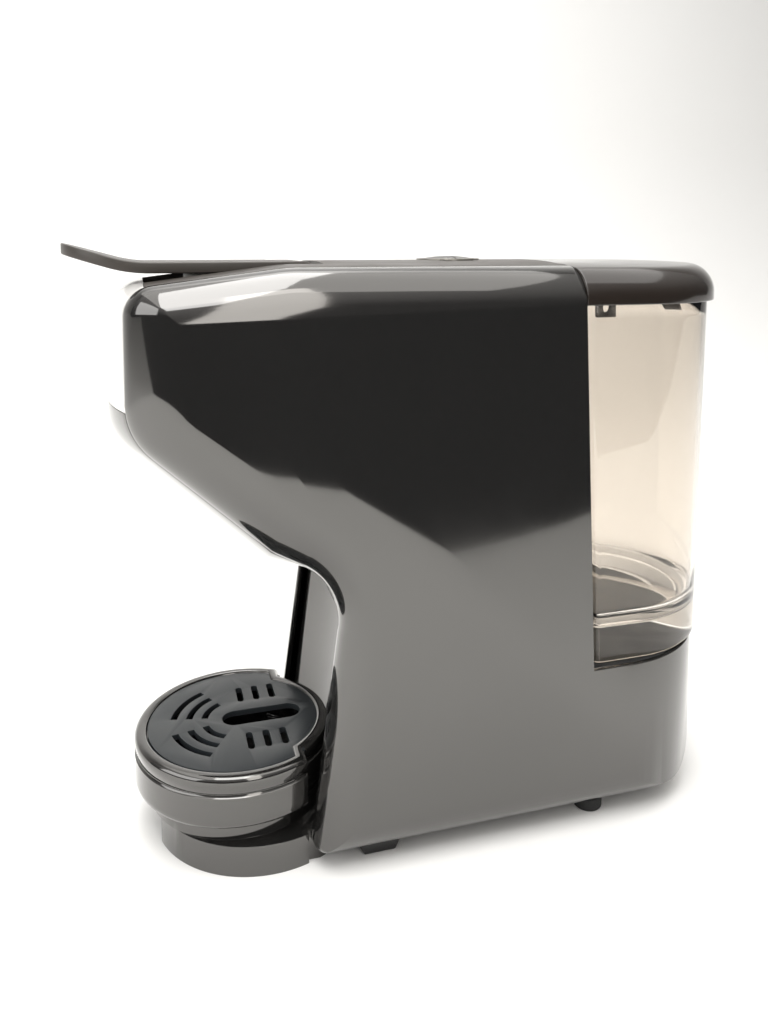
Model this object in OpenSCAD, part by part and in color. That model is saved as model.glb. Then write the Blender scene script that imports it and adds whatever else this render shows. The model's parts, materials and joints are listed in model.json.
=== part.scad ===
// Pod coffee machine: narrow glossy body, top lever, clear rear tank, round drip tray.
// Millimetres. X runs across the machine, Y from the front (-Y) to the rear (+Y), Z up.

/* [Body] */
// Width over the two side shells
body_w = 118; // [100:1:145]
// Height of the top seam of the side shells above the floor
shell_top = 250; // [235:1:300]
// Wall of the outer shells
wall = 2.4; // [1.8:0.1:3.5]
// Foremost point of the head on the centre line, from the length datum
head_front = -2.7; // [-10:0.1:6]
// Seam between the side shells and the water tank, at the top
seam_y = 194; // [180:1:215]
// How far the seam leans back over the height of the tank
seam_lean = 7; // [0:1:12]
// Rearmost point of the lower body
body_rear = 279; // [265:1:320]
// Front edge of the column at the floor
column_front = 76; // [72:1:82]
// Height of the deck that the tank stands on
deck_z = 73; // [60:1:85]
// Depth of the shell edges that wrap round the front and the top
cheek = 16; // [15:0.5:18]
// Crown of the head in plan, over the body width
front_crown = 14; // [8:1:20]
// Crown of the top over the body width
top_crown = 4; // [2:0.5:8]
// Height of the feet under the shells
foot_h = 6; // [4:0.5:9]

/* [Lever] */
// Width of the lever plate
lever_w = 56; // [46:1:62]
// Thickness of the lever plate
lever_t = 4.5; // [3.5:0.1:6]
// How far the lever tip stands out in front of the head
lever_reach = 17.3; // [12:0.1:40]
// Rise of the lever tip above the top of the machine
lever_rise = 8; // [4:0.5:14]
// Radius of the lever hinge pin
pin_r = 2; // [1.5:0.1:3]

/* [Brew group] */
// Distance of the brew axis behind the length datum
brew_y = 50; // [48:0.5:53]
// Outer radius of the brew chamber
chamber_r = 24.5; // [22:0.5:26]
// Inner radius of the pod holder
pod_r = 16; // [12:0.5:17]
// Height of the spout mouth above the floor
spout_z = 116; // [105:1:125]
// Outer radius of the outlet spout
spout_r = 8; // [6:0.5:10]

/* [Drip tray] */
// Distance of the tray centre behind the length datum
tray_y = 52; // [48:0.5:56]
// Outer radius of the tray
tray_r = 46.8; // [40:0.1:48]
// Radius of the tray where it nests into the column
tray_rear_r = 40.5; // [34:0.1:41]
// Underside of the tray above the floor
tray_z = 22; // [18:0.5:26]
// Rim of the tray above the floor
tray_rim_z = 44; // [36:0.5:52]
// Thickness of the slotted plate
grid_t = 2.6; // [2:0.1:4]

/* [Water tank] */
// Rearmost point of the tank at its rim
tank_rear = 284.5; // [270:0.5:320]
// Height of the tank rim above the floor
tank_rim_z = 238; // [220:1:290]
// Height of the skirt under the tank floor
skirt_h = 17; // [12:1:25]
// Wall of the tank
tank_wall = 2; // [1.5:0.1:3]
// How much the tank narrows on each side from rim to skirt
tank_draft = 2.5; // [0:0.5:4]
// Rearmost point of the lid
lid_rear = 287.6; // [275:0.1:325]

/* [Controls and fasteners] */
// Distance of the button cluster behind the length datum
button_y = 153; // [140:1:165]
// Outer radius of the button bezel
bezel_r = 15; // [12:0.5:18]
// Travel of each button
button_travel = 1.2; // [0.8:0.1:2]
// Radius of the case screws
screw_r = 1.5; // [1.2:0.1:2]
// Radius of the cable passage at the rear
cable_r = 3.6; // [3:0.1:4.5]

/* [Hidden] */
$fn = 96;
EPS = 0.01;
seam_gap = 0.3;       // gap between neighbouring covers
move_gap = 0.6;       // gap round covers and parts that move
run_gap = 0.05;       // radial running clearance on pins
half_w = body_w / 2;
inner_w = half_w - cheek;
shell_bottom = foot_h;
body_round_y = body_rear - half_w;
crest_z = shell_top + top_crown;
top_r = (half_w * half_w + top_crown * top_crown) / (2 * top_crown);
tip_y = head_front - lever_reach;
mid_y = (tip_y + lid_rear) / 2;
pivot_r = 7;
pivot = [0, 79, crest_z - pivot_r];
cut_half = lever_w / 2 + move_gap;
column_r = 87;
column_back = column_front + 18;
column_lean = atan(0.134);
edge_r = 15;
hollow_steps = [[half_w - 13, 0.61, wall], [half_w - 7, 0.8, wall + 2.6], [half_w - wall, 1, wall + 8]];
trim_z = shell_top - 54;
cover_front = 13;
lid_front = seam_y + seam_gap + seam_lean * (shell_top - tank_rim_z + 3) / (shell_top - deck_z);
brew_end = 61;
spout_y = tray_y + 20.8;
rib_x = 30;           // outer face of the two clip ribs behind the head cover
housing_w = 14;       // half width of the holder of the spout
seat_z = shell_top - 16;
tray_floor_t = 2;
rim_w = 5.2;
plate_r = tray_r - rim_w - 0.5;
plate_rear_r = tray_rear_r - 3;
grid_z = tray_rim_z - 0.6;
step_y = tray_y + 24;
under_z0 = 182.8 - 250 + shell_top;
frame_x = half_w - 19;
board_z = shell_top - 13;
pump_z = 34;
pump_y = [118, 190];
valve_y = seam_y + 24;
tank_floor_z = deck_z + skirt_h;

// ---------- helpers ----------
function unit(v) = v / norm(v);
// Arc that rounds corner b of the path a-b-c with radius r, in two or three dimensions
function arc_at(a, b, c, r, n = 7) =
    let (u = unit(a - b), w = unit(c - b), turn = acos(u * w))
    (r <= 0 || turn > 179) ? [b] :
    let (mid = b + unit(u + w) * r / sin(turn / 2),
         from = b + u * r / tan(turn / 2) - mid,
         to = b + w * r / tan(turn / 2) - mid,
         sweep = acos(min(1, max(-1, unit(from) * unit(to)))))
    [for (i = [0 : n]) mid + (sin(sweep * (1 - i / n)) * from + sin(sweep * i / n) * to) / sin(sweep)];
// Closed outline of corners [y, z, radius, steps]
function closed_path(p) = [for (i = [0 : len(p) - 1])
    let (a = p[(i + len(p) - 1) % len(p)], b = p[i], c = p[(i + 1) % len(p)])
    each arc_at([a[0], a[1]], [b[0], b[1]], [c[0], c[1]], b[2], b[3])];
// Corners of a counter-clockwise outline moved inwards by d, with their radii adjusted
function inset(p, d) = [for (i = [0 : len(p) - 1])
    let (a = p[(i + len(p) - 1) % len(p)], b = p[i], c = p[(i + 1) % len(p)],
         e = unit([b[0] - a[0], b[1] - a[1]]), f = unit([c[0] - b[0], c[1] - b[1]]),
         m = [-e[1], e[0]], n = [-f[1], f[0]], turn = e[0] * f[1] - e[1] * f[0],
         s = d / (1 + m * n), r = b[2] == 0 ? 0 : max(0.3, b[2] - sign(turn) * d))
    [b[0] + (m[0] + n[0]) * s, b[1] + (m[1] + n[1]) * s, r, b[3]]];
// Open path of points with corner radii, as a strip of thickness t to its left
function open_path(p, n = 7) = [for (i = [0 : len(p) - 1])
    each (i == 0 || i == len(p) - 1) ? [[p[i][0], p[i][1]]] :
        arc_at([p[i - 1][0], p[i - 1][1]], [p[i][0], p[i][1]], [p[i + 1][0], p[i + 1][1]], p[i][2], n)];
function shifted(p, t) = [for (i = [0 : len(p) - 1])
    let (a = p[max(i - 1, 0)], b = p[i], c = p[min(i + 1, len(p) - 1)],
         e = i == 0 ? unit([c[0] - b[0], c[1] - b[1]]) : unit([b[0] - a[0], b[1] - a[1]]),
         f = i == len(p) - 1 ? e : unit([c[0] - b[0], c[1] - b[1]]),
         m = [-e[1], e[0]], n = [-f[1], f[0]], turn = e[0] * f[1] - e[1] * f[0], s = t / (1 + m * n))
    [b[0] + (m[0] + n[0]) * s, b[1] + (m[1] + n[1]) * s, max(0.2, b[2] - sign(turn) * t)]];
function strip(p, t) =
    let (outer = open_path(p), inner = open_path(shifted(p, t)))
    concat(outer, [for (i = [len(inner) - 1 : -1 : 0]) inner[i]]);

// Puts the body datum into the row frame, whose origin is the middle of the base
module place() translate([0, -mid_y, 0]) children();
// Profile in Y and Z drawn out symmetrically across X
module across(w) rotate([90, 0, 90]) translate([0, 0, -w / 2]) linear_extrude(w) children();
module block(lo, hi) translate(lo) cube(hi - lo);
module tube_y(r, y0, y1, x = 0, z = 0) translate([x, y0, z]) rotate([-90, 0, 0]) cylinder(r = r, h = y1 - y0);
// Broad cylinder along Y whose top is the crown of the machine
module crown(y0, y1) translate([0, y0, crest_z - top_r]) rotate([-90, 0, 0])
    cylinder(r = top_r, h = y1 - y0, $fn = 720);
module tube_x(r, x0, x1, y = 0, z = 0) translate([x0, y, z]) rotate([0, 90, 0]) cylinder(r = r, h = x1 - x0);
module disc(r, z0, z1, x = 0, y = 0) translate([x, y, z0]) cylinder(r = r, h = z1 - z0);
module ring(r, bore, z0, z1, x = 0, y = 0) difference() {
    disc(r, z0, z1, x, y);
    disc(bore, z0 - 1, z1 + 1, x, y);
}
module mirrored() {
    children();
    mirror([1, 0, 0]) children();
}

// Round hose or cable swept along corners [x, y, z], each rounded with radius bend
function rounded_route(p, bend) = [for (i = [0 : len(p) - 1])
    each (i == 0 || i == len(p) - 1) ? [p[i]] : arc_at(p[i - 1], p[i], p[i + 1], bend, 4)];
module hose(p, r, bend = 8, sides = 10) {
    route = rounded_route(p, bend);
    last = len(route) - 1;
    rings = [for (i = [0 : last])
        let (t = unit(route[min(i + 1, last)] - route[max(i - 1, 0)]),
             side = unit(cross(t, abs(t[0]) > 0.9 ? [0, 1, 0] : [1, 0, 0])), up = cross(t, side))
        [for (k = [0 : sides - 1]) route[i] + r * (cos(360 * k / sides) * side + sin(360 * k / sides) * up)]];
    polyhedron(points = [for (one = rings) each one], convexity = 4, faces = concat(
        [[for (k = [0 : sides - 1]) k]],
        [for (i = [0 : last - 1], k = [0 : sides - 1])
            [i * sides + k, (i + 1) * sides + k, (i + 1) * sides + (k + 1) % sides, i * sides + (k + 1) % sides]],
        [[for (k = [sides - 1 : -1 : 0]) last * sides + k]]));
}

// ---------- shared outlines ----------
// Side view of the body, counter-clockwise from the foot of the column. The head, its
// underside and the roof change from the centre (c = 0) to the flat sides (c = 1).
function mix(a, b, c) = a + (b - a) * c;
function under_z(y, c) = mix(under_z0 - 0.983 * (y - head_front), under_z0 - 5.4 - 0.854 * (y - head_front - 29), c);
function column_y(z) = column_front + 0.134 * (z - shell_bottom);
function inner_corner_z(c) = mix(spout_z + 1, shell_top - 128, c);
function nose_y(c) = head_front + front_crown * c;
function roof_z(c) = crest_z - top_crown * c;
function body_corners(c) = [
    [column_front, shell_bottom, 5, 4],
    [body_rear, shell_bottom, 46, 10],
    [body_rear, roof_z(c), 0, 1],
    [68, roof_z(c), 90, 4],
    [nose_y(c), mix(shell_top - 5.5, shell_top - 6.2, c), mix(15, 10, c), 6],
    [nose_y(c), under_z(nose_y(c), c), mix(20, 38, c), 6],
    [brew_end, mix(spout_z + 6, under_z(brew_end, 1), c), 0, 1],
    [column_y(inner_corner_z(c)), inner_corner_z(c), mix(12, 44, c), 8]
];
// Closed solid through one outline at each station [x, c, inset]
module loft(stations) {
    rings = [for (s = stations) [for (q = closed_path(inset(body_corners(s[1]), s[2]))) [s[0], q[0], q[1]]]];
    n = len(rings[0]);
    last = len(rings) - 1;
    polyhedron(points = [for (one = rings) each one], convexity = 6, faces = concat(
        [[for (k = [0 : n - 1]) k]],
        [for (i = [0 : last - 1], k = [0 : n - 1])
            [i * n + k, (i + 1) * n + k, (i + 1) * n + (k + 1) % n, i * n + (k + 1) % n]],
        [[for (k = [n - 1 : -1 : 0]) last * n + k]]));
}
function crown_at(x) = (x / half_w) * (x / half_w);
// Rounded edge of one side of the body, its surface moved in by d
function edge_stations(d) = [for (a = [0 : 18 : 90])
    let (x = half_w - edge_r + (edge_r - d) * sin(a))
    [x, crown_at(half_w - edge_r + edge_r * sin(a)), d + (edge_r - d) * (1 - cos(a))]];
module side_body(d, x0) loft(concat([[x0, crown_at(x0), d]], edge_stations(d)));
module middle_body(d, w) loft([for (x = [-1, -0.75, -0.5, -0.25, 0, 0.25, 0.5, 0.75, 1]) [x * w, crown_at(x * w), d]]);
// Round rear of the body in plan, open towards the front
module rear_plan(d) {
    block([-half_w, -60, 0], [half_w, body_round_y, shell_top + 20]);
    disc(half_w - d, 0, shell_top + 20, 0, body_round_y);
}
// Hollow of a side shell: steps [half width, crown factor, inset] inside its rounded edge
module side_hollow() for (s = hollow_steps)
    across(2 * s[0]) polygon(closed_path(inset(body_corners(s[1]), s[2])));
// Space of the tank behind the seam and above the deck, grown by d
module tank_space(d) across(body_w + 2) polygon([
    [seam_y + seam_lean - d, deck_z - d], [400, deck_z - d], [400, shell_top + 60],
    [seam_y - d - seam_lean * 60 / (shell_top - deck_z), shell_top + 60]]);
// Tank body of the shape with walls moved in by d
module tank_solid(d, z0, z1) {
    r1 = half_w - 2.5;
    y0 = tank_rear - r1;
    h = tank_rim_z - deck_z;
    function r_at(z) = r1 - tank_draft * (tank_rim_z - z) / h - d;
    intersection() {
        union() {
            translate([0, y0, z0]) cylinder(r1 = r_at(z0), r2 = r_at(z1), h = z1 - z0);
            translate([0, y0, 0]) rotate([90, 0, 0]) linear_extrude(40)
                polygon([[-r_at(z0), z0], [r_at(z0), z0], [r_at(z1), z1], [-r_at(z1), z1]]);
        }
        across(body_w) polygon([
            [seam_y + 2.4 + d + seam_lean, deck_z], [tank_rear + 10, deck_z],
            [tank_rear + 10, shell_top], [seam_y + 2.4 + d, shell_top]]);
    }
}
// Tray outline: a large round front and a smaller round rear that nests in the column
module tray_plan(front, rear, z0, z1) {
    intersection() {
        disc(front, z0, z1, 0, tray_y);
        block([-60, tray_y - 60, z0], [60, step_y, z1]);
    }
    disc(rear, z0, z1, 0, tray_y);
}

// ---------- outer casing ----------
module side_shell() difference() {
    intersection() {
        side_body(0, 0);
        rear_plan(0);
    }
    intersection() {
        side_hollow();
        rear_plan(wall);
    }
    tank_space(0);
    block([-5, -60, -1], [inner_w, body_round_y + 6, shell_top + 20]);
    tube_y(cable_r + 2.5, body_rear - 20, body_rear + 5, 0, 58);
}
// Part of the skin between the two side shells that lies inside its children
module skin() intersection() {
    difference() {
        middle_body(0, inner_w - seam_gap);
        middle_body(wall, inner_w + 1);
    }
    children();
}
module side_shell_right() color("#1c1c1e") place() side_shell();
module side_shell_left() color("#1c1c1e") place() mirror([1, 0, 0]) side_shell();

module base_plate() color("#2b2b2d") place() difference() {
    union() {
        block([-inner_w + seam_gap, 94, shell_bottom], [inner_w - seam_gap, body_round_y + 5.7, shell_bottom + 2.5]);
        for (y = pump_y) block([-12, y - 5, shell_bottom + 2.4], [12, y + 5, pump_z - 11]);
        for (x = [-1, 1], y = [130, 200]) disc(4, shell_bottom, 20, x * 32, y);
    }
    for (y = pump_y) tube_y(16, y - 8, y + 8, 0, pump_z);
    for (x = [-1, 1], y = [130, 200]) disc(screw_r, shell_bottom - 1, 22, x * 32, y);
}

module front_pedestal() color("#1a1a1c") place() union() {
    intersection() {
        disc(47, 0, 13, 0, tray_y + 9);
        union() {
            block([-47, tray_y - 36, 0], [47, column_front - move_gap, 13]);
            block([-inner_w + seam_gap, tray_y, 0], [inner_w - seam_gap, 93, 13]);
        }
    }
    disc(tray_rear_r - 0.5, 12.9, tray_z - 0.4, 0, tray_y);
    block([-30, 92, 2], [30, 108, shell_bottom]);
}

// Front of the head and its underside, between the shell edges
module head_front_cover() color("#1c1c1e") place() {
    for (x = [-rib_x, rib_x - 2])
        block([x, nose_y(crown_at(rib_x)) + wall / 2, trim_z - 8], [x + 2, cover_front, trim_z - 1]);
    difference() {
        skin() block([-half_w, -40, spout_z - 6], [half_w, 110, trim_z]);
        column_face(column_back - 60, -seam_gap);
        disc(spout_r + seam_gap, spout_z - 9, spout_z + 20, 0, spout_y);
    }
}
module front_trim() color("#d9d8d2") place() skin()
    block([-half_w, -40, trim_z + seam_gap], [half_w, cover_front - seam_gap, shell_top + 20]);
module spout_housing() color("#1c1b1a") place() difference() {
    intersection() {
        block([-housing_w, brew_end + 1, spout_z], [housing_w, column_front + 8, spout_z + 18]);
        middle_body(wall + seam_gap, inner_w);
    }
    disc(spout_r + seam_gap, spout_z - 1, spout_z + 30, 0, spout_y);
}
// Space behind the hollow face of the column, which leans like the shell edges
module column_face(reach, grow) difference() {
    block([-half_w, column_back - 16, -20], [half_w, column_back + reach, shell_top]);
    translate([0, column_back - column_r - tray_z * tan(column_lean), 0]) rotate([-column_lean, 0, 0])
        cylinder(r = column_r + grow, h = shell_top + 20);
}
module column_cover() color("#1c1c1e") place() intersection() {
    difference() {
        column_face(60, 0);
        translate([0, wall, 0]) column_face(60, 0);
    }
    block([-inner_w + seam_gap, 60, tray_z - 1], [inner_w - seam_gap, column_back + 30, spout_z + 16]);
}
module top_cover() color("#4a4541") place() difference() {
    skin() difference() {
        block([-half_w, cover_front, shell_top - 20], [half_w, seam_y + 6, shell_top + 20]);
        tank_space(seam_gap);
    }
    block([-cut_half, 0, 200], [cut_half, pivot[1] + pivot_r + move_gap, crest_z + 9]);
    disc(bezel_r + 0.2, shell_top - 5, crest_z + 5, 0, button_y);
}
module tank_bay() color("#232325") place() difference() {
    intersection() {
        across(body_w - 2 * wall - 0.4) polygon(strip([
            [body_rear, deck_z, 0], [seam_y + seam_lean, deck_z, 0], [seam_y, shell_top - 12, 0]], wall));
        rear_plan(wall + 0.2);
    }
    disc(9.2, deck_z - 5, deck_z + 5, 0, valve_y);
}
module lever_well() color("#242426") place() {
    difference() {
        block([-33, 20, seat_z - 8], [33, 88, shell_top - 7.5]);
        block([-31, 22, seat_z - 6], [31, 86, shell_top]);
        disc(chamber_r + 0.3, 0, shell_top, 0, brew_y);
    }
    mirrored() difference() {
        union() {
            block([22.6, pivot[1] - 5, seat_z - 6.1], [27.6, pivot[1] + 5, pivot[2]]);
            tube_x(5, 22.6, 27.6, pivot[1], pivot[2]);
        }
        tube_x(pin_r, 20, 30, pivot[1], pivot[2]);
    }
}
module chassis_frame() color("#55585c") place() {
    mirrored() difference() {
        block([frame_x, 104, shell_bottom + 2.5], [frame_x + 2.5, 190, board_z]);
        for (z = [80, 150]) tube_x(14, 0, half_w, 125, z);
        for (z = [80, 150]) tube_x(14, 0, half_w, 165, z);
    }
    for (y = [118, 136]) block([-frame_x - EPS, y, 100], [frame_x + EPS, y + 4, 106]);
}
module brew_deck() color("#55585c") place() difference() {
    block([-frame_x - 2.5, 22, seat_z - 20], [frame_x + 2.5, 103.8, seat_z - 17]);
    disc(chamber_r + seam_gap, 0, shell_top, 0, brew_y);
}
module front_feet() color("#202022") place() mirrored()
    translate([inner_w - 4, 0, 0]) rotate([90, 0, 90]) linear_extrude(8)
        polygon([[99, 0], [113, 0], [116, shell_bottom], [96, shell_bottom]]);
module rear_feet() color("#18181a") place() mirrored() {
    disc(6.5, 0, shell_bottom, inner_w, 208);
}
module case_screws() color("#8b8d90") place() {
    for (x = [-1, 1], y = [130, 200]) {
        disc(screw_r, shell_bottom - 1, 18, x * 32, y);
        disc(screw_r * 2, shell_bottom - 2.2, shell_bottom, x * 32, y);
    }
}

// ---------- lever and brew group ----------
module brew_lever() color("#3b3835") place() difference() {
    union() {
        intersection() {
            across(lever_w) polygon(strip([
                [tip_y, crest_z + lever_rise, 0], [8, crest_z, 55], [70, crest_z, 0]], -lever_t));
            union() {
                disc(lever_w / 2, 200, crest_z + 20, 0, tip_y + lever_w / 2);
                block([-lever_w / 2, tip_y + lever_w / 2, 200], [lever_w / 2, 100, crest_z + 20]);
            }
        }
        block([-22, 69, crest_z - lever_t], [22, pivot[1], crest_z]);
        tube_x(pivot_r, -22, 22, pivot[1], pivot[2]);
    }
    tube_x(pin_r + run_gap, -40, 40, pivot[1], pivot[2]);
}
module lever_pin() color("#b9bcc0") place() tube_x(pin_r, -27.6, 27.6, pivot[1], pivot[2]);
module injector_head() color("#d8d5cc") place() difference() {
    disc(pod_r + 4, seat_z + 2, crest_z - lever_t, 0, brew_y);
    for (x = [-14, 14]) disc(screw_r, crest_z - lever_t - 6, crest_z, x, brew_y);
}
module piercing_pins() color("#c9ccd0") place()
    for (a = [90, 210, 330]) translate([6 * cos(a), brew_y + 6 * sin(a), 0]) {
        disc(1.2, seat_z - 3, seat_z + 2);
    }
module head_gasket() color("#7a3a2c") place() ring(pod_r + 4, pod_r + 0.5, seat_z + 0.4, seat_z + 2, 0, brew_y);
module lever_screws() color("#8b8d90") place()
    for (x = [-14, 14]) disc(screw_r, crest_z - lever_t - 6, crest_z - lever_t, x, brew_y);
module brew_chamber() color("#2d2d30") place() difference() {
    union() {
        disc(chamber_r, seat_z - 44, seat_z - 8, 0, brew_y);
        disc(chamber_r + 4, seat_z - 17, seat_z - 13, 0, brew_y);
        tube_y(4, brew_y + chamber_r - 2, brew_y + chamber_r + 10, 0, seat_z - 30);
    }
    disc(pod_r + 5.3, seat_z - 40, seat_z, 0, brew_y);
    disc(4, seat_z - 50, seat_z, 0, brew_y);
    tube_y(2, brew_y + chamber_r - 8, brew_y + chamber_r + 12, 0, seat_z - 30);
}
module chamber_seal() color("#7a3a2c") place() ring(7, 4.2, seat_z - 40, seat_z - 38.5, 0, brew_y);
module pod_holder() color("#3a3a3c") place() difference() {
    union() {
        disc(pod_r + 5, seat_z - 38.5, seat_z - 4, 0, brew_y);
        disc(pod_r + 7, seat_z - 8, seat_z, 0, brew_y);
    }
    translate([0, brew_y, seat_z - 34]) cylinder(r1 = pod_r - 3, r2 = pod_r, h = 34 + EPS);
    disc(3, seat_z - 50, seat_z, 0, brew_y);
}
module coffee_duct() color("#2d2d30") place()
    hose([[0, brew_y, seat_z - 44], [0, brew_y, seat_z - 60], [0, spout_y, spout_z + 50],
        [0, spout_y, spout_z + 26]], 6, 10);
module outlet_spout() color("#1f1f21") place()
    ring(spout_r, spout_r / 2, spout_z + 2.5, spout_z + 26, 0, spout_y);

// ---------- water system ----------
module water_pump() color("#9a9690") place() {
    tube_y(12, pump_y[0] - 6, pump_y[1] + 6, 0, pump_z);
    block([-20, 131, pump_z - 20], [20, 175, pump_z + 22]);
    tube_y(4, pump_y[1] + 6, pump_y[1] + 12, 0, pump_z);
    tube_y(4, pump_y[0] - 10, pump_y[0] - 6, 0, pump_z);
}
module pump_mounts() color("#252527") place() for (y = pump_y) difference() {
    tube_y(16 - run_gap, y - 4, y + 4, 0, pump_z);
    tube_y(12 + run_gap, y - 5, y + 5, 0, pump_z);
}
module thermoblock() color("#b3b5b7") place() {
    block([-26, 112, 106], [26, 146, 182]);
    for (x = [-14, 14]) disc(4, 182, 190, x, 129);
}
module thermostats() color("#d0cbc0") place() for (z = [125, 160]) tube_y(8, 146, 153, 0, z);
module flow_meter() color("#e6e3da") place() {
    disc(13, 42, 56, 0, valve_y);
    disc(3, 38, 42, 0, valve_y);
}
inlet_top = [0, valve_y, 56];
module inlet_hose() color("#e0ddd4") place() {
    hose([[0, valve_y, deck_z - 12], inlet_top], 3, 2);
    hose([[0, valve_y, 38], [0, valve_y, 25], [0, pump_y[1] + 20, pump_z], [0, pump_y[1] + 12, pump_z]], 3, 3.5);
}
module pressure_hose() color("#e0ddd4") place()
    hose([[0, pump_y[0] - 10, pump_z], [0, 103.5, pump_z], [-10, 106, 60], [-32, 111, 100], [-32, 111, 202],
        [-14, 129, 202], [-14, 129, 190]], 3, 4);
module brew_hose() color("#e0ddd4") place()
    hose([[14, 129, 190], [14, 129, 202], [0, 108, seat_z - 30], [0, brew_y + chamber_r + 10, seat_z - 30]], 3, 7);
module hose_clips() color("#a9acb0") place() {
    for (y = [pump_y[1] + 13, brew_y + chamber_r + 12]) {
        z = y > 120 ? pump_z : seat_z - 30;
        difference() {
            tube_y(4.4, y, y + 3, 0, z);
            tube_y(3.02, y - 1, y + 4, 0, z);
        }
    }
    ring(4.4, 3.02, deck_z - 16, deck_z - 13.5, 0, valve_y);
}
module tank_socket() color("#303033") place() difference() {
    union() {
        disc(9, deck_z - 12, deck_z + 4, 0, valve_y);
        ring(12, 8, deck_z - 5, deck_z - wall - 0.1, 0, valve_y);
    }
    disc(6, deck_z - 8, deck_z + 5, 0, valve_y);
    disc(2, deck_z - 13, deck_z + 5, 0, valve_y);
}
module socket_seal() color("#7a3a2c") place() ring(6, 4, deck_z - 8, deck_z - 5, 0, valve_y);

// ---------- electrics ----------
module control_board() color("#2f6b45") place() {
    block([-30, 108, board_z], [30, 178, board_z + 1.6]);
    block([8, 112, board_z + 1.6], [26, 130, board_z + 9]);
    block([-24, 112, board_z + 1.6], [-14, 128, board_z + 7]);
    for (x = [-20, -8]) disc(3.5, board_z + 1.6, board_z + 9, x, 136);
    mirrored() block([29.9, 120, board_z], [frame_x + 2.5, 128, board_z + 1.6]);
}
module button_switches() color("#d7d2c4") place() for (y = [-7, 7])
    block([-4, button_y + y - 4, board_z + 1.6], [4, button_y + y + 4, board_z + 5.5]);
module wiring_loom() color("#b03024") place()
    hose([[26, 172, board_z], [26, 172, board_z - 20], [31, 180, 160], [31, 180, 60], [30, 165, 46], [20.2, 165, 46]],
        2.5, 6);
module button_bezel() color("#8e8a84") place() ring(bezel_r, bezel_r - 2, shell_top - 1, crest_z + 0.7, 0, button_y);
// Half-round button; side is -1 towards the front and 1 towards the rear
module half_button(side) {
    r = bezel_r - 2.4;
    intersection() {
        union() {
            disc(r, shell_top, crest_z + 0.6, 0, button_y);
            translate([0, button_y, crest_z + 1.8 - 60]) intersection() {
                sphere(r = 60, $fn = 180);
                translate([0, 0, 50]) cylinder(r = r, h = 20);
            }
        }
        block([-20, side > 0 ? button_y + 0.3 : button_y - 20, shell_top - 1],
            [20, side > 0 ? button_y + 20 : button_y - 0.3, crest_z + 9]);
    }
    disc(2, board_z + 5.5 + button_travel + 0.4, shell_top + 0.1, 0, button_y + side * 7);
}
module button_small_cup() color("#2a2a2c") place() half_button(-1);
module button_large_cup() color("#2a2a2c") place() half_button(1);
module button_springs() color("#b9bcc0") place() for (y = [-7, 7])
    ring(3.4, 2.6, board_z + 5.5, board_z + 7, 0, button_y + y);
module cord_grommet() color("#1d1d1f") place() difference() {
    union() {
        tube_y(cable_r + 2.5 - 0.1, body_rear - 8, body_rear + 0.5, 0, 58);
        tube_y(cable_r + 4, body_rear + 0.2, body_rear + 2.4, 0, 58);
        tube_y(cable_r + 4, body_rear - 8, body_rear - 5, 0, 58);
    }
    tube_y(cable_r, body_rear - 10, body_rear + 5, 0, 58);
}

// ---------- water tank ----------
module water_tank() color("#cfd3d0", 0.4) place() difference() {
    tank_solid(0, deck_z + 0.2, tank_rim_z);
    tank_solid(tank_wall, tank_floor_z + tank_wall, tank_rim_z + 1);
    tank_solid(tank_wall, deck_z - 1, tank_floor_z);
    disc(4, deck_z, tank_floor_z + 5, 0, valve_y);
}
module tank_filter() color("#e9e6dd") place() ring(8, 5.2, tank_floor_z + tank_wall, tank_floor_z + tank_wall + 5, 0, valve_y);
module tank_valve() color("#d9d4c8") place() {
    disc(3.6, deck_z + 4.5, tank_floor_z + tank_wall, 0, valve_y);
    disc(4.9, tank_floor_z + tank_wall, tank_floor_z + tank_wall + 1.4, 0, valve_y);
}
module valve_spring() color("#b9bcc0") place()
    ring(4.6, 3.9, tank_floor_z + tank_wall + 1.4, tank_floor_z + tank_wall + 4.8, 0, valve_y);
module tank_lid() color("#19181a") place() {
    y0 = lid_rear - half_w;
    difference() {
        intersection() {
            union() {
                block([-half_w, lid_front - 40, tank_rim_z - 3], [half_w, y0, crest_z + 1]);
                disc(half_w, tank_rim_z - 3, crest_z + 1, 0, y0);
            }
            crown(lid_front - 50, lid_rear + 30);
            across(body_w + 2) polygon(closed_path([[lid_front, tank_rim_z - 4, 0, 1],
                [lid_rear + 1, tank_rim_z - 4, 0, 1], [lid_rear + 1, crest_z - 5, 8, 6],
                [lid_rear - 26, crest_z, 40, 5], [lid_front, crest_z, 0, 1]]));
        }
        union() {
            block([-half_w + 2, lid_front + 1.4, tank_rim_z - 4], [half_w - 2, y0, tank_rim_z + 0.5]);
            disc(half_w - 2, tank_rim_z - 4, tank_rim_z + 0.5, 0, y0);
        }
        union() {
            block([-half_w + 5, lid_front + 4.7, tank_rim_z], [half_w - 5, y0, shell_top - 3]);
            disc(half_w - 5, tank_rim_z, shell_top - 3, 0, y0);
        }
    }
    for (x = [-1, 1], tab = [[50, seam_y + 10], [42, lid_rear - 44]])
        block([x * tab[0] - 1, tab[1], tank_rim_z - 9], [x * tab[0] + 1, tab[1] + 9, shell_top - 2]);
}

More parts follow.
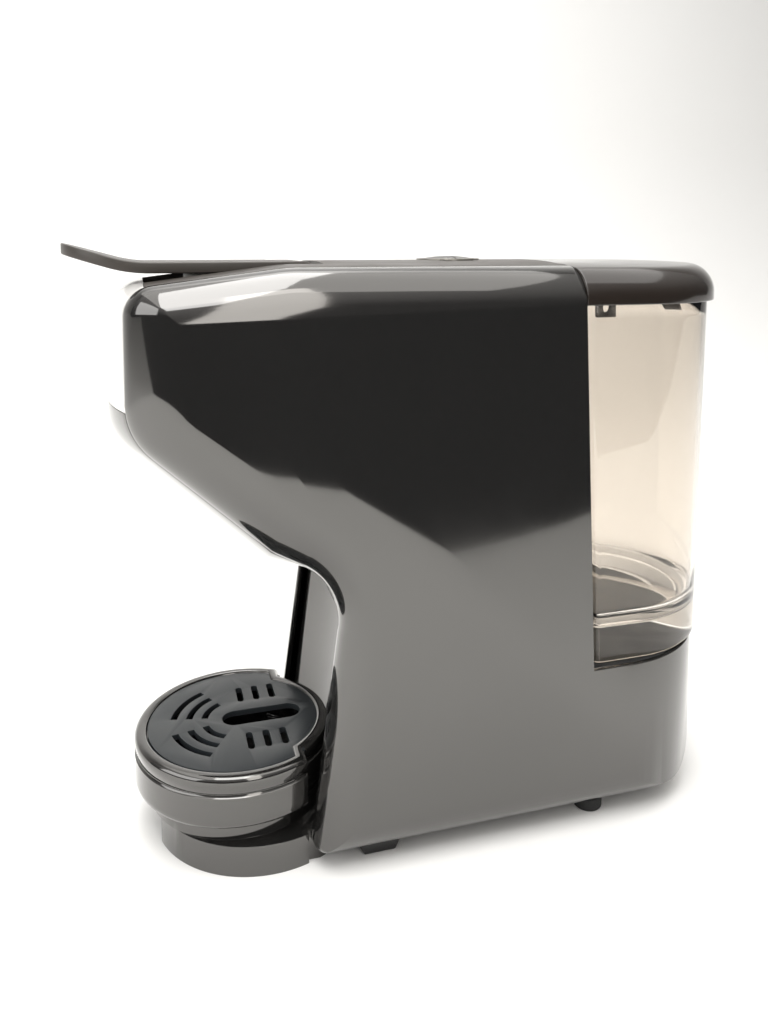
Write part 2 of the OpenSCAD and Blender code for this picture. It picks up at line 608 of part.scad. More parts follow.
// ---------- drip tray ----------
module drip_tray() color("#1a1a1c") place() difference() {
    tray_plan(tray_r, tray_rear_r, tray_z, tray_rim_z);
    tray_plan(tray_r - 2.2, tray_rear_r - 2, tray_z + tray_floor_t, tray_rim_z - 8);
    tray_plan(plate_r - 2, plate_rear_r - 2, tray_rim_z - 9, tray_rim_z + 1);
    tray_plan(plate_r + 0.4, plate_rear_r + 0.4, grid_z - grid_t - 0.1, tray_rim_z + 1);
}
module slot_bar(l, w, z0, z1) {
    block([-l / 2 + w / 2, -w / 2, z0], [l / 2 - w / 2, w / 2, z1]);
    for (s = [-1, 1]) disc(w / 2, z0, z1, s * (l / 2 - w / 2), 0);
}
module drip_grid() color("#2c3134") place() {
    lo = grid_z - grid_t - 1;
    hi = grid_z + 1;
    difference() {
        tray_plan(plate_r, plate_rear_r, grid_z - grid_t, grid_z);
        translate([0, tray_y + 10, 0]) rotate([0, 0, 90]) slot_bar(36, 12, lo, hi);
        for (s = [-1, 1], k = [0 : 2])
            translate([s * 20, tray_y + 2.3 + 7.5 * k, 0]) slot_bar(13, 3, lo, hi);
        for (s = [-1, 1], r = [16, 23, 30]) translate([0, tray_y, lo])
            rotate([0, 0, s > 0 ? -78 : -150]) rotate_extrude(angle = 48)
                translate([r - 1.5, 0]) square([3, grid_t + 2]);
    }
}

side_shell_right();
side_shell_left();
base_plate();
front_pedestal();
head_front_cover();
front_trim();
spout_housing();
column_cover();
top_cover();
tank_bay();
lever_well();
chassis_frame();
brew_deck();
front_feet();
rear_feet();
case_screws();
brew_lever();
lever_pin();
injector_head();
piercing_pins();
head_gasket();
lever_screws();
brew_chamber();
chamber_seal();
pod_holder();
coffee_duct();
outlet_spout();
water_pump();
pump_mounts();
thermoblock();
thermostats();
flow_meter();
inlet_hose();
pressure_hose();
brew_hose();
hose_clips();
control_board();
button_switches();
wiring_loom();
button_bezel();
button_small_cup();
button_large_cup();
button_springs();
cord_grommet();
tank_socket();
socket_seal();
water_tank();
tank_filter();
tank_valve();
valve_spring();
tank_lid();
drip_tray();
drip_grid();
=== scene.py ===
# Pod coffee machine: materials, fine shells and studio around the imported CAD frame.
import json
from math import acos, asin, atan, cos, pi, radians, sin, tan
import bmesh
import bpy
from mathutils import Matrix, Vector

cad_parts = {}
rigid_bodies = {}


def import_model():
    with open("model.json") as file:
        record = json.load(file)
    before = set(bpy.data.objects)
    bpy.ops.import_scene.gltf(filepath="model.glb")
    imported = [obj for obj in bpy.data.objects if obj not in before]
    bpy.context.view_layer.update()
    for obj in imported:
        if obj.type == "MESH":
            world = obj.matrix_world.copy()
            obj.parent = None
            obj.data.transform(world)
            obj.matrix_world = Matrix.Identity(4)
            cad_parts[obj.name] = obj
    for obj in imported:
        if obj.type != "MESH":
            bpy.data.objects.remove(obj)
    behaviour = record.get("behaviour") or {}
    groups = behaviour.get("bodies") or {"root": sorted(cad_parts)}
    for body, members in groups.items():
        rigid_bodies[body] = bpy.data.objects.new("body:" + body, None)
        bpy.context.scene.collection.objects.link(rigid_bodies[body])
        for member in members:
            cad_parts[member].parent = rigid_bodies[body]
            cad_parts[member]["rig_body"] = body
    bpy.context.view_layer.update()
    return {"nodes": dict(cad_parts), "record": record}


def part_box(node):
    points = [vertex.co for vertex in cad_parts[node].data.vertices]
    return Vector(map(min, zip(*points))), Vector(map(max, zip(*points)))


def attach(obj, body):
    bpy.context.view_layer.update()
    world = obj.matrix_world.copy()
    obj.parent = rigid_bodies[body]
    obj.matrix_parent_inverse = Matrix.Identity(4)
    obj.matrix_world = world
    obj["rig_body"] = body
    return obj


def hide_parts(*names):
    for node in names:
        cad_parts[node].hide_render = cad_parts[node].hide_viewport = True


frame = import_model()
shell_low, shell_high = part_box("side_shell_right")
spout_low, spout_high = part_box("outlet_spout")

# ---------- sizes in metres, shared with the CAD ----------
HALF_W = shell_high[0]
SHELL_BOTTOM = shell_low[2]
SHELL_TOP = 0.250
WALL = 0.0024
EDGE_R = 0.015
INNER_W = HALF_W - 0.016
SEAM_GAP = 0.0003
TOP_CROWN = 0.004
CREST = SHELL_TOP + TOP_CROWN
FRONT_CROWN = 0.014
DECK_Z = 0.073
TANK_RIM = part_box("water_tank")[1][2]
BODY_REAR = shell_high[1]
BODY_ROUND = BODY_REAR - HALF_W
# the CAD measures lengths from a datum this far in front of the rear of the shells
DATUM = BODY_REAR - 0.279
HEAD_FRONT = DATUM - 0.0027
COLUMN_FRONT = DATUM + 0.076
SEAM_Y = DATUM + 0.194
SEAM_LEAN = 0.007
SPOUT_Z = 0.116
SPOUT_Y = (spout_low[1] + spout_high[1]) / 2
SPOUT_HOLE_R = 0.0083
BREW_END = DATUM + 0.061
TRIM_Z = SHELL_TOP - 0.054
COVER_FRONT = DATUM + 0.013
COLUMN_SLOPE = 0.134
COLUMN_LEAN = atan(COLUMN_SLOPE)
COLUMN_R = 0.087
COLUMN_BACK = COLUMN_FRONT + 0.018
TRAY_Z = 0.022
TRAY_Y = DATUM + 0.052
TRAY_STEP = 0.024
LID_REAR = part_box("tank_lid")[1][1]
VALVE_Y = SEAM_Y + 0.024
TANK_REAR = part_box("water_tank")[1][1]
TANK_FLOOR = DECK_Z + 0.017
BUTTON_Y = DATUM + 0.153
BUTTON_HOLE_R = 0.0152
CORD_Z = 0.058
CORD_HOLE_R = 0.0061
# the opening for the lever in the top cover
CUT_HALF = 0.0286
CUT_REAR = DATUM + 0.0866
CUT_LOW = 0.2
# the two lines under the head, on the centre plane and on the flat sides
UNDER_DROP = 0.0672
UNDER_SLOPE = 0.983
SIDE_UNDER_DROP = 0.0054
SIDE_UNDER_SLOPE = 0.854
SIDE_UNDER_Y = 0.029
# limits of the cutters, clear of the machine
PAST = 0.02
FAR_FRONT = DATUM - 0.1
FAR_LOW = -0.01
FAR_HIGH = SHELL_TOP + PAST
FAR_SIDE = 0.1


# ---------- outlines ----------
def mix(a, b, t):
    return a + (b - a) * t


def arc_at(a, b, c, r, steps):
    """Points of the arc that rounds corner b of a-b-c with radius r."""
    a, b, c = Vector(a), Vector(b), Vector(c)
    u, w = (a - b).normalized(), (c - b).normalized()
    turn = acos(max(-1.0, min(1.0, u.dot(w))))
    if r <= 0 or turn > radians(179):
        return [b]
    mid = b + (u + w).normalized() * (r / sin(turn / 2))
    start = b + u * (r / tan(turn / 2)) - mid
    end = b + w * (r / tan(turn / 2)) - mid
    sweep = start.angle(end)
    points = []
    for i in range(steps + 1):
        t = i / steps
        points.append(mid + (start * sin(sweep * (1 - t)) + end * sin(sweep * t)) / sin(sweep))
    return points


def closed_path(corners):
    """Outline of corners (y, z, radius, steps)."""
    points = []
    for i, (y, z, r, steps) in enumerate(corners):
        before = corners[i - 1][:2]
        after = corners[(i + 1) % len(corners)][:2]
        points += arc_at(before, (y, z), after, r, steps)
    return points


def inset(corners, d):
    """The same counter-clockwise corners moved inwards by d."""
    moved = []
    for i, (y, z, r, steps) in enumerate(corners):
        a = Vector(corners[i - 1][:2])
        b = Vector((y, z))
        c = Vector(corners[(i + 1) % len(corners)][:2])
        e, f = (b - a).normalized(), (c - b).normalized()
        m, n = Vector((-e.y, e.x)), Vector((-f.y, f.x))
        turn = e.x * f.y - e.y * f.x
        p = b + (m + n) * (d / (1 + m.dot(n)))
        sign = 1 if turn > 0 else -1
        moved.append((p.x, p.y, 0 if r == 0 else max(0.0003, r - sign * d), steps))
    return moved


def under_z(y, c):
    """Height of the line under the head at length y."""
    start = SHELL_TOP - UNDER_DROP
    middle = start - UNDER_SLOPE * (y - HEAD_FRONT)
    side = start - SIDE_UNDER_DROP - SIDE_UNDER_SLOPE * (y - HEAD_FRONT - SIDE_UNDER_Y)
    return mix(middle, side, c)


def column_y(z):
    return COLUMN_FRONT + COLUMN_SLOPE * (z - SHELL_BOTTOM)


# corners of the side view; a pair is its value on the centre plane and on the flat sides
FOOT_R = 0.005
REAR_R = 0.046
ROOF_BEND_Y = DATUM + 0.068
ROOF_BEND_R = 0.090
NOSE_TOP = (SHELL_TOP - 0.0055, SHELL_TOP - 0.0062)
NOSE_TOP_R = (0.015, 0.010)
NOSE_LOW_R = (0.020, 0.038)
HOLLOW_Z = (SPOUT_Z + 0.001, SHELL_TOP - 0.128)
HOLLOW_R = (0.012, 0.044)
BREW_END_Z = SPOUT_Z + 0.006


def body_corners(c):
    """Side view of the body, from its centre plane (c = 0) to its flat sides (c = 1)."""
    nose = HEAD_FRONT + FRONT_CROWN * c
    roof = CREST - TOP_CROWN * c
    hollow_z = mix(*HOLLOW_Z, c)
    return [
        (COLUMN_FRONT, SHELL_BOTTOM, FOOT_R, 8),
        (BODY_REAR, SHELL_BOTTOM, REAR_R, 24),
        (BODY_REAR, roof, 0, 1),
        (ROOF_BEND_Y, roof, ROOF_BEND_R, 12),
        (nose, mix(*NOSE_TOP, c), mix(*NOSE_TOP_R, c), 16),
        (nose, under_z(nose, c), mix(*NOSE_LOW_R, c), 16),
        (BREW_END, mix(BREW_END_Z, under_z(BREW_END, 1), c), 0, 1),
        (column_y(hollow_z), hollow_z, mix(*HOLLOW_R, c), 24),
    ]


def crown_at(x):
    return (x / HALF_W) ** 2


# ---------- meshes ----------
def mesh_object(name, points, faces):
    mesh = bpy.data.meshes.new(name)
    mesh.from_pydata([tuple(p) for p in points], [], faces)
    mesh.validate()
    piece = bpy.data.objects.new(name, mesh)
    bpy.context.scene.collection.objects.link(piece)
    bm = bmesh.new()
    bm.from_mesh(mesh)
    bmesh.ops.recalc_face_normals(bm, faces=bm.faces)
    bm.to_mesh(mesh)
    bm.free()
    return piece


def loft(name, rings):
    """Closed solid through rings that have equally many points."""
    n = len(rings[0])
    points = [p for ring in rings for p in ring]
    faces = [list(range(n)), [(len(rings) - 1) * n + k for k in range(n)]]
    for i in range(len(rings) - 1):
        for k in range(n):
            j = (k + 1) % n
            faces.append((i * n + k, (i + 1) * n + k, (i + 1) * n + j, i * n + j))
    return mesh_object(name, points, faces)


def body_loft(name, stations):
    """Body section between stations (x, crown factor, inset)."""
    rings = []
    for x, c, d in stations:
        rings.append([(x, p.x, p.y) for p in closed_path(inset(body_corners(c), d))])
    return loft(name, rings)


def edge_stations(d, start, flat_steps=9, round_steps=12):
    """Stations from start over the rounded edge of one side, the surface moved in by d."""
    stations = []
    bend = HALF_W - EDGE_R
    for i in range(flat_steps):
        x = mix(start, bend, i / flat_steps)
        stations.append((x, crown_at(x), d))
    for i in range(round_steps + 1):
        a = radians(90) * i / round_steps
        inwards = d + (EDGE_R - d) * (1 - cos(a))
        stations.append((bend + (EDGE_R - d) * sin(a), crown_at(bend + EDGE_R * sin(a)), inwards))
    return stations


def block(low, high):
    xs, ys, zs = zip(low, high)
    points = [(x, y, z) for x in xs for y in ys for z in zs]
    faces = [(0, 1, 3, 2), (4, 6, 7, 5), (0, 4, 5, 1), (2, 3, 7, 6), (0, 2, 6, 4), (1, 5, 7, 3)]
    return mesh_object("cutter", points, faces)


def cylinder(r, z0, z1, y, sides=96):
    turns = [2 * pi * k / sides for k in range(sides)]
    return loft("cutter", [[(r * cos(a), y + r * sin(a), z) for a in turns] for z in (z0, z1)])


def prism(outline):
    """Outline of (y, z) points drawn out across the whole width."""
    return loft("cutter", [[(x, y, z) for y, z in outline] for x in (-FAR_SIDE, FAR_SIDE)])


def combine(piece, other, how):
    """Applies a boolean with another object, which is used up."""
    step = piece.modifiers.new("cut", "BOOLEAN")
    step.operation = how
    step.solver = "MANIFOLD"
    step.object = other
    apply_modifiers(piece)
    bpy.data.objects.remove(other, do_unlink=True)
    return piece


def apply_modifiers(piece):
    graph = bpy.context.evaluated_depsgraph_get()
    mesh = bpy.data.meshes.new_from_object(piece.evaluated_get(graph))
    piece.modifiers.clear()
    old = piece.data
    piece.data = mesh
    bpy.data.meshes.remove(old)


def smooth(piece, angle):
    for face in piece.data.polygons:
        face.use_smooth = True
    piece.data.set_sharp_from_angle(angle=radians(angle))


SAME_POINT = 2e-6  # points closer than this are one
FLAT_ANGLE = 0.6   # faces that differ by less than this many degrees are one


def soften(piece, width, steps=3, angle=32):
    """Small round on every sharp edge, then smooth shading."""
    bm = bmesh.new()
    bm.from_mesh(piece.data)
    bmesh.ops.remove_doubles(bm, verts=bm.verts, dist=SAME_POINT)
    bmesh.ops.dissolve_limit(
        bm, angle_limit=radians(FLAT_ANGLE), verts=bm.verts, edges=bm.edges, delimit={"NORMAL"})
    bm.to_mesh(piece.data)
    bm.free()
    step = piece.modifiers.new("round", "BEVEL")
    step.width = width
    step.segments = steps
    step.limit_method = "ANGLE"
    step.angle_limit = radians(angle)
    step.harden_normals = False
    step.use_clamp_overlap = True
    apply_modifiers(piece)
    smooth(piece, 38)
    return piece


def refine(node, width):
    """A copy of a CAD node with rounded edges that stands for it."""
    piece = bpy.data.objects.new(node + "_fine", frame["nodes"][node].data.copy())
    bpy.context.scene.collection.objects.link(piece)
    soften(piece, width)
    stand_for(piece, node)


def stand_for(piece, node):
    """The piece moves with the node's body and takes its place."""
    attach(piece, frame["nodes"][node]["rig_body"])
    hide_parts(node)


# ---------- fine shells ----------
def tank_space(grow):
    """Room behind the leaning seam and above the deck, grown by a gap."""
    above, behind = 0.06, SEAM_Y + 0.3
    top = SHELL_TOP + above
    lean = SEAM_LEAN * above / (SHELL_TOP - DECK_Z)
    return prism([
        (SEAM_Y + SEAM_LEAN - grow, DECK_Z - grow), (behind, DECK_Z - grow),
        (behind, top), (SEAM_Y - grow - lean, top)])


def rear_plan(r):
    """Plan of the body with a round rear of radius r."""
    piece = block((-HALF_W, FAR_FRONT, FAR_LOW), (HALF_W, BODY_ROUND, FAR_HIGH))
    return combine(piece, cylinder(r, FAR_LOW, FAR_HIGH, BODY_ROUND, 192), "UNION")


def make_side_shell():
    """Hollow right shell with a round rear, open towards the middle and the tank."""
    outer = combine(body_loft("side_shell", edge_stations(0, 0.0)), rear_plan(HALF_W), "INTERSECT")
    inner = body_loft("cutter", edge_stations(WALL, -0.001))
    combine(inner, rear_plan(HALF_W - WALL), "INTERSECT")
    shell = combine(outer, inner, "DIFFERENCE")
    combine(shell, tank_space(0), "DIFFERENCE")
    middle = block((-0.005, DATUM - 0.06, FAR_LOW), (INNER_W, BODY_ROUND + 0.006, FAR_HIGH))
    combine(shell, middle, "DIFFERENCE")
    hole = cylinder(CORD_HOLE_R, -PAST, PAST, 0)
    hole.data.transform(
        Matrix.Translation((0, BODY_REAR, CORD_Z)) @ Matrix.Rotation(radians(90), 4, "X"))
    return combine(shell, hole, "DIFFERENCE")


def middle_stations(half, d, steps=24):
    """Stations from side to side over the middle of the body, the surface moved in by d."""
    places = [mix(-half, half, i / steps) for i in range(steps + 1)]
    return [(x, crown_at(x), d) for x in places]


def make_skin(name, cut):
    """Skin between the side shells, inside the block cut."""
    piece = body_loft(name, middle_stations(INNER_W - SEAM_GAP, 0))
    combine(piece, body_loft("cutter", middle_stations(INNER_W + 0.001, WALL)), "DIFFERENCE")
    return combine(piece, cut, "INTERSECT")


def column_solid():
    """The leaning round column in front of the cover, which the underside of the head meets."""
    y = COLUMN_BACK - COLUMN_R - TRAY_Z * tan(COLUMN_LEAN)
    piece = cylinder(COLUMN_R - SEAM_GAP, -PAST, FAR_HIGH, 0, 384)
    piece.data.transform(Matrix.Translation((0, y, 0)) @ Matrix.Rotation(-COLUMN_LEAN, 4, "X"))
    return piece


shell_mesh = make_side_shell()
soften(shell_mesh, 0.0004, 2, 40)
for node, side in (("side_shell_right", 1), ("side_shell_left", -1)):
    piece = bpy.data.objects.new(node + "_fine", shell_mesh.data.copy())
    bpy.context.scene.collection.objects.link(piece)
    if side < 0:
        piece.data.transform(Matrix.Scale(-1, 4, (1, 0, 0)))
        piece.data.flip_normals()
    stand_for(piece, node)
bpy.data.objects.remove(shell_mesh, do_unlink=True)

SKIN_FRONT = DATUM - 0.04
HEAD_LOW = SPOUT_Z - 0.006
HEAD_REAR = DATUM + 0.11
head_cover = make_skin("head_front_cover_fine", block(
    (-HALF_W, SKIN_FRONT, HEAD_LOW), (HALF_W, HEAD_REAR, TRIM_Z)))
combine(head_cover, column_solid(), "INTERSECT")
combine(head_cover, cylinder(SPOUT_HOLE_R, SPOUT_Z - 0.009, SPOUT_Z + PAST, SPOUT_Y), "DIFFERENCE")
front_trim = make_skin("front_trim_fine", block(
    (-HALF_W, SKIN_FRONT, TRIM_Z + SEAM_GAP), (HALF_W, COVER_FRONT - SEAM_GAP, FAR_HIGH)))
top_cover = make_skin("top_cover_fine", block(
    (-HALF_W, COVER_FRONT, SHELL_TOP - PAST), (HALF_W, SEAM_Y + 0.006, FAR_HIGH)))
combine(top_cover, tank_space(SEAM_GAP), "DIFFERENCE")
combine(top_cover, block((-CUT_HALF, DATUM, CUT_LOW), (CUT_HALF, CUT_REAR, CREST + 0.009)), "DIFFERENCE")
combine(top_cover, cylinder(BUTTON_HOLE_R, SHELL_TOP - 0.005, CREST + 0.005, BUTTON_Y), "DIFFERENCE")
skins = ((head_cover, "head_front_cover"), (front_trim, "front_trim"), (top_cover, "top_cover"))
for piece, node in skins:
    soften(piece, 0.0005, 3, 40)
    stand_for(piece, node)


# ---------- tank and lid ----------
def plan_ring(r, front, mid_y, z, corner, round_steps=48, corner_steps=6):
    """D-shaped ring at height z: a half circle at the rear, a flat front with round corners."""
    ring = []
    for k in range(round_steps + 1):
        a = pi * k / round_steps
        ring.append((r * cos(a), mid_y + r * sin(a), z))
    corner = min(corner, r * 0.5)
    for side, first in ((-1, 180), (1, 270)):
        for k in range(corner_steps + 1):
            a = radians(first + 90 * k / corner_steps)
            x = side * (r - corner) + corner * cos(a)
            ring.append((x, front + corner + corner * sin(a), z))
    return ring


def closed_tube(name, rings):
    """Solid whose rings run round its whole section, the last joined to the first."""
    n = len(rings[0])
    points = [p for ring in rings for p in ring]
    faces = []
    for i in range(len(rings)):
        for k in range(n):
            j = (k + 1) % n
            m = (i + 1) % len(rings)
            faces.append((i * n + k, m * n + k, m * n + j, i * n + j))
    return mesh_object(name, points, faces)


def hole_ring(r, z, like):
    """Ring of radius r round the valve with one point towards each point of another ring."""
    ring = []
    for x, y, _ in like:
        way = Vector((x, y - VALVE_Y)).normalized()
        ring.append((way.x * r, VALVE_Y + way.y * r, z))
    return ring


def make_tank():
    """Clear tank that tapers a little, with a rounded rim and a floor with a hole for the valve."""
    wall, taper = 0.002, 0.0025
    small, rim = 0.0005, 0.0003
    floor_r, hole_r = 0.006, 0.0042
    corner, least_corner = 0.005, 0.0008
    top_r = HALF_W - 0.0025
    mid_y = TANK_REAR - top_r
    height = TANK_RIM - DECK_Z
    bottom = DECK_Z + 0.0002
    seam = SEAM_Y + 0.0024
    inside = TANK_FLOOR + wall

    def ring(z, d):
        up = (z - DECK_Z) / height
        r = top_r - taper * (1 - up) - d
        front = seam + SEAM_LEAN * (1 - (z - DECK_Z) / (SHELL_TOP - DECK_Z)) + d
        return plan_ring(r, front, mid_y, z, max(least_corner, corner - d))

    rings = [ring(bottom, small), ring(bottom + small, 0)]
    rings += [ring(mix(bottom + 2 * small, TANK_RIM - 2 * small, i / 16), 0) for i in range(17)]
    rings += [ring(TANK_RIM - rim, rim), ring(TANK_RIM, 0.0008), ring(TANK_RIM, wall - 2 * rim)]
    rings += [ring(mix(TANK_RIM - 2 * rim, inside + floor_r, i / 16), wall) for i in range(17)]
    for i in range(1, 9):
        a = radians(90) * i / 8
        rings.append(ring(inside + floor_r * (1 - sin(a)), wall + floor_r * (1 - cos(a))))
    floor = ring(inside, wall + 0.01)
    rings += [hole_ring(hole_r, inside, floor), hole_ring(hole_r, TANK_FLOOR, floor)]
    rings += [ring(TANK_FLOOR, wall + 2 * small), ring(TANK_FLOOR - 2 * small, wall)]
    rings += [ring(bottom + small, wall), ring(bottom, wall - small)]
    tank = closed_tube("water_tank_fine", rings)
    smooth(tank, 50)
    stand_for(tank, "water_tank")


def lid_height(x, y, d):
    """Height of the lid's top surface moved in by d; it falls a little towards the rear."""
    fall = 0.0022
    back = max(0.0, (y - SEAM_Y) / (LID_REAR - SEAM_Y))
    return CREST - TOP_CROWN * crown_at(x) - fall * back ** 3 - d


def lid_rings(d, low):
    """Rings of the lid's surface moved in by d, from its rim at height low to its middle."""
    r = HALF_W - d
    mid_y = LID_REAR - HALF_W
    front = SEAM_Y - 0.02 + d
    edge_r, corner, round_steps = 0.011, 0.003, 12
    edge = edge_r - d
    shoulder = SHELL_TOP - edge_r
    rings = [plan_ring(r, front, mid_y, z, corner) for z in (low, mix(low, shoulder, 0.5))]
    for i in range(round_steps + 1):
        a = radians(90) * i / round_steps
        inwards = edge * (1 - cos(a))
        ring = plan_ring(r - inwards, front + inwards, mid_y, 0, corner)
        rings.append([(x, y, mix(shoulder, lid_height(x, y, d), sin(a))) for x, y, _ in ring])
    for k in (0.8, 0.6, 0.4, 0.2, 0.05):
        ring = plan_ring((r - edge) * k, mix(mid_y, front + edge, k), mid_y, 0, corner * k)
        rings.append([(x, y, lid_height(x, y, d)) for x, y, _ in ring])
    return rings


def make_tab(x, y):
    """Upright tab under the lid at width x, from length y, with a round hole."""
    half, length = 0.001, 0.009
    tab = block((x - half, y, TANK_RIM - 0.009), (x + half, y + length, SHELL_TOP - 0.0035))
    hole = cylinder(0.0018, -0.01, 0.01, 0, 24)
    middle = (x, y + length / 2, TANK_RIM - 0.0055)
    hole.data.transform(Matrix.Translation(middle) @ Matrix.Rotation(radians(90), 4, "Y"))
    return combine(tab, hole, "DIFFERENCE")


def make_lid():
    """Hollow lid whose front follows the seam, with four tabs that hang into the tank."""
    low = TANK_RIM - 0.003
    lid = loft("tank_lid_fine", lid_rings(0, low))
    combine(lid, loft("cutter", lid_rings(0.002, low - 0.004)), "DIFFERENCE")
    combine(lid, tank_space(-SEAM_GAP), "INTERSECT")
    combine(lid, make_front_wall(low), "UNION")
    for x, y in ((0.050, SEAM_Y + 0.010), (0.042, LID_REAR - 0.044)):
        for side in (-1, 1):
            combine(lid, make_tab(side * x, y), "UNION")
    soften(lid, 0.0005, 3, 40)
    stand_for(lid, "tank_lid")


def make_front_wall(low):
    """Thin wall that closes the lid towards the body, cut to the lid's own section."""
    solid = combine(loft("wall", lid_rings(0.0004, low)), tank_space(-SEAM_GAP), "INTERSECT")
    return combine(solid, tank_space(-0.0018), "DIFFERENCE")


make_tank()
make_lid()

# ---------- drip tray ----------
def tray_ring(front, rear, z, d=0.0):
    """Tray outline: a large round front and a smaller round rear, moved in by d, at height z."""
    step = TRAY_STEP - d
    front, rear = front - d, rear - d
    ring = []
    for radius, steps, turn in ((front, 96, -1), (rear, 40, 1)):
        edge = asin(step / radius)
        start, end = (pi - edge, 2 * pi + edge) if turn < 0 else (edge, pi - edge)
        for k in range(steps + 1):
            a = mix(start, end, k / steps)
            ring.append((radius * cos(a), TRAY_Y + radius * sin(a), z))
    return ring


def make_tray():
    """Drum with a soft lip round its rim, a shadow line under the lip and a ledge for the plate."""
    low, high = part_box("drip_tray")
    grid_low, grid_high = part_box("drip_grid")
    front = high[0]
    rear = high[1] - TRAY_Y
    plate = front - grid_high[0] - 0.0004
    ledge = grid_low[2] - 0.0001
    lip, lip_r = high[2] - 0.0075, 0.0028
    # pairs of inset and height: bottom edge, drum, shadow line, lip, ledge and floor
    profile = [(0.0016, low[2]), (0.0005, low[2] + 0.0005), (0.0001, low[2] + 0.0016)]
    profile += [(0.0, mix(low[2] + 0.003, lip - 0.0012, i / 6)) for i in range(7)]
    profile += [(0.0008, lip - 0.0006), (0.0009, lip), (0.0003, lip + 0.0006)]
    for i in range(9):
        a = radians(90) * i / 8
        profile.append((lip_r * (1 - cos(a)), high[2] - lip_r * (1 - sin(a))))
    profile += [(plate - 0.0012, high[2]), (plate - 0.0004, high[2] - 0.0004)]
    profile.append((plate, high[2] - 0.0012))
    profile += [(plate, ledge), (plate + 0.0016, ledge), (plate + 0.0016, low[2] + 0.006)]
    profile += [(plate + 0.0030, low[2] + 0.003), (plate + 0.006, low[2] + 0.002)]
    rings = [tray_ring(front, rear, z, d) for d, z in profile]
    tray = loft("drip_tray_fine", rings)
    smooth(tray, 50)
    stand_for(tray, "drip_tray")


make_tray()

# ---------- CAD nodes with rounded edges, and the width of the round ----------
ROUNDS = {
    "brew_lever": 0.0013, "drip_grid": 0.0005, "front_pedestal": 0.0018, "column_cover": 0.0005,
    "spout_housing": 0.0012, "outlet_spout": 0.0007, "front_feet": 0.0008, "rear_feet": 0.0010,
    "button_bezel": 0.0005, "button_small_cup": 0.0006, "button_large_cup": 0.0006,
    "cord_grommet": 0.0006, "lever_well": 0.0005, "injector_head": 0.0007, "pod_holder": 0.0006,
    "base_plate": 0.0004,
}
for node, width in ROUNDS.items():
    refine(node, width)


# ---------- materials ----------
def new_material(name, color, roughness, sockets=()):
    mat = bpy.data.materials.new(name)
    mat.use_nodes = True
    shader = mat.node_tree.nodes["Principled BSDF"]
    shader.inputs["Base Color"].default_value = (*color, 1)
    shader.inputs["Roughness"].default_value = roughness
    for socket, value in sockets:
        shader.inputs[socket].default_value = value
    return mat


def add_detail(mat, spread, scale, roughness, bump, bump_scale, distance):
    """Colour and roughness that wander a little, and a fine moulded bump."""
    tree = mat.node_tree
    nodes, links = tree.nodes, tree.links
    shader = nodes["Principled BSDF"]
    place = nodes.new("ShaderNodeTexCoord")
    wander = nodes.new("ShaderNodeTexNoise")
    wander.inputs["Scale"].default_value = scale
    wander.inputs["Detail"].default_value = 6
    links.new(place.outputs["Object"], wander.inputs["Vector"])
    base = tuple(shader.inputs["Base Color"].default_value[:3])
    shades = nodes.new("ShaderNodeValToRGB")
    for stop, factor in zip(shades.color_ramp.elements, (1 - spread, 1 + spread)):
        stop.color = (*(min(1.0, v * factor) for v in base), 1)
    links.new(wander.outputs["Fac"], shades.inputs["Fac"])
    links.new(shades.outputs["Color"], shader.inputs["Base Color"])
    rub = nodes.new("ShaderNodeMapRange")
    rub.inputs["From Min"].default_value = 0.3
    rub.inputs["From Max"].default_value = 0.7
    rub.inputs["To Min"].default_value = roughness[0]
    rub.inputs["To Max"].default_value = roughness[1]
    links.new(wander.outputs["Fac"], rub.inputs["Value"])
    links.new(rub.outputs["Result"], shader.inputs["Roughness"])
    grain = nodes.new("ShaderNodeTexNoise")
    grain.inputs["Scale"].default_value = bump_scale
    grain.inputs["Detail"].default_value = 3
    links.new(place.outputs["Object"], grain.inputs["Vector"])
    relief = nodes.new("ShaderNodeBump")
    relief.inputs["Strength"].default_value = bump
    relief.inputs["Distance"].default_value = distance
    links.new(grain.outputs["Fac"], relief.inputs["Height"])
    links.new(relief.outputs["Normal"], shader.inputs["Normal"])
    return mat


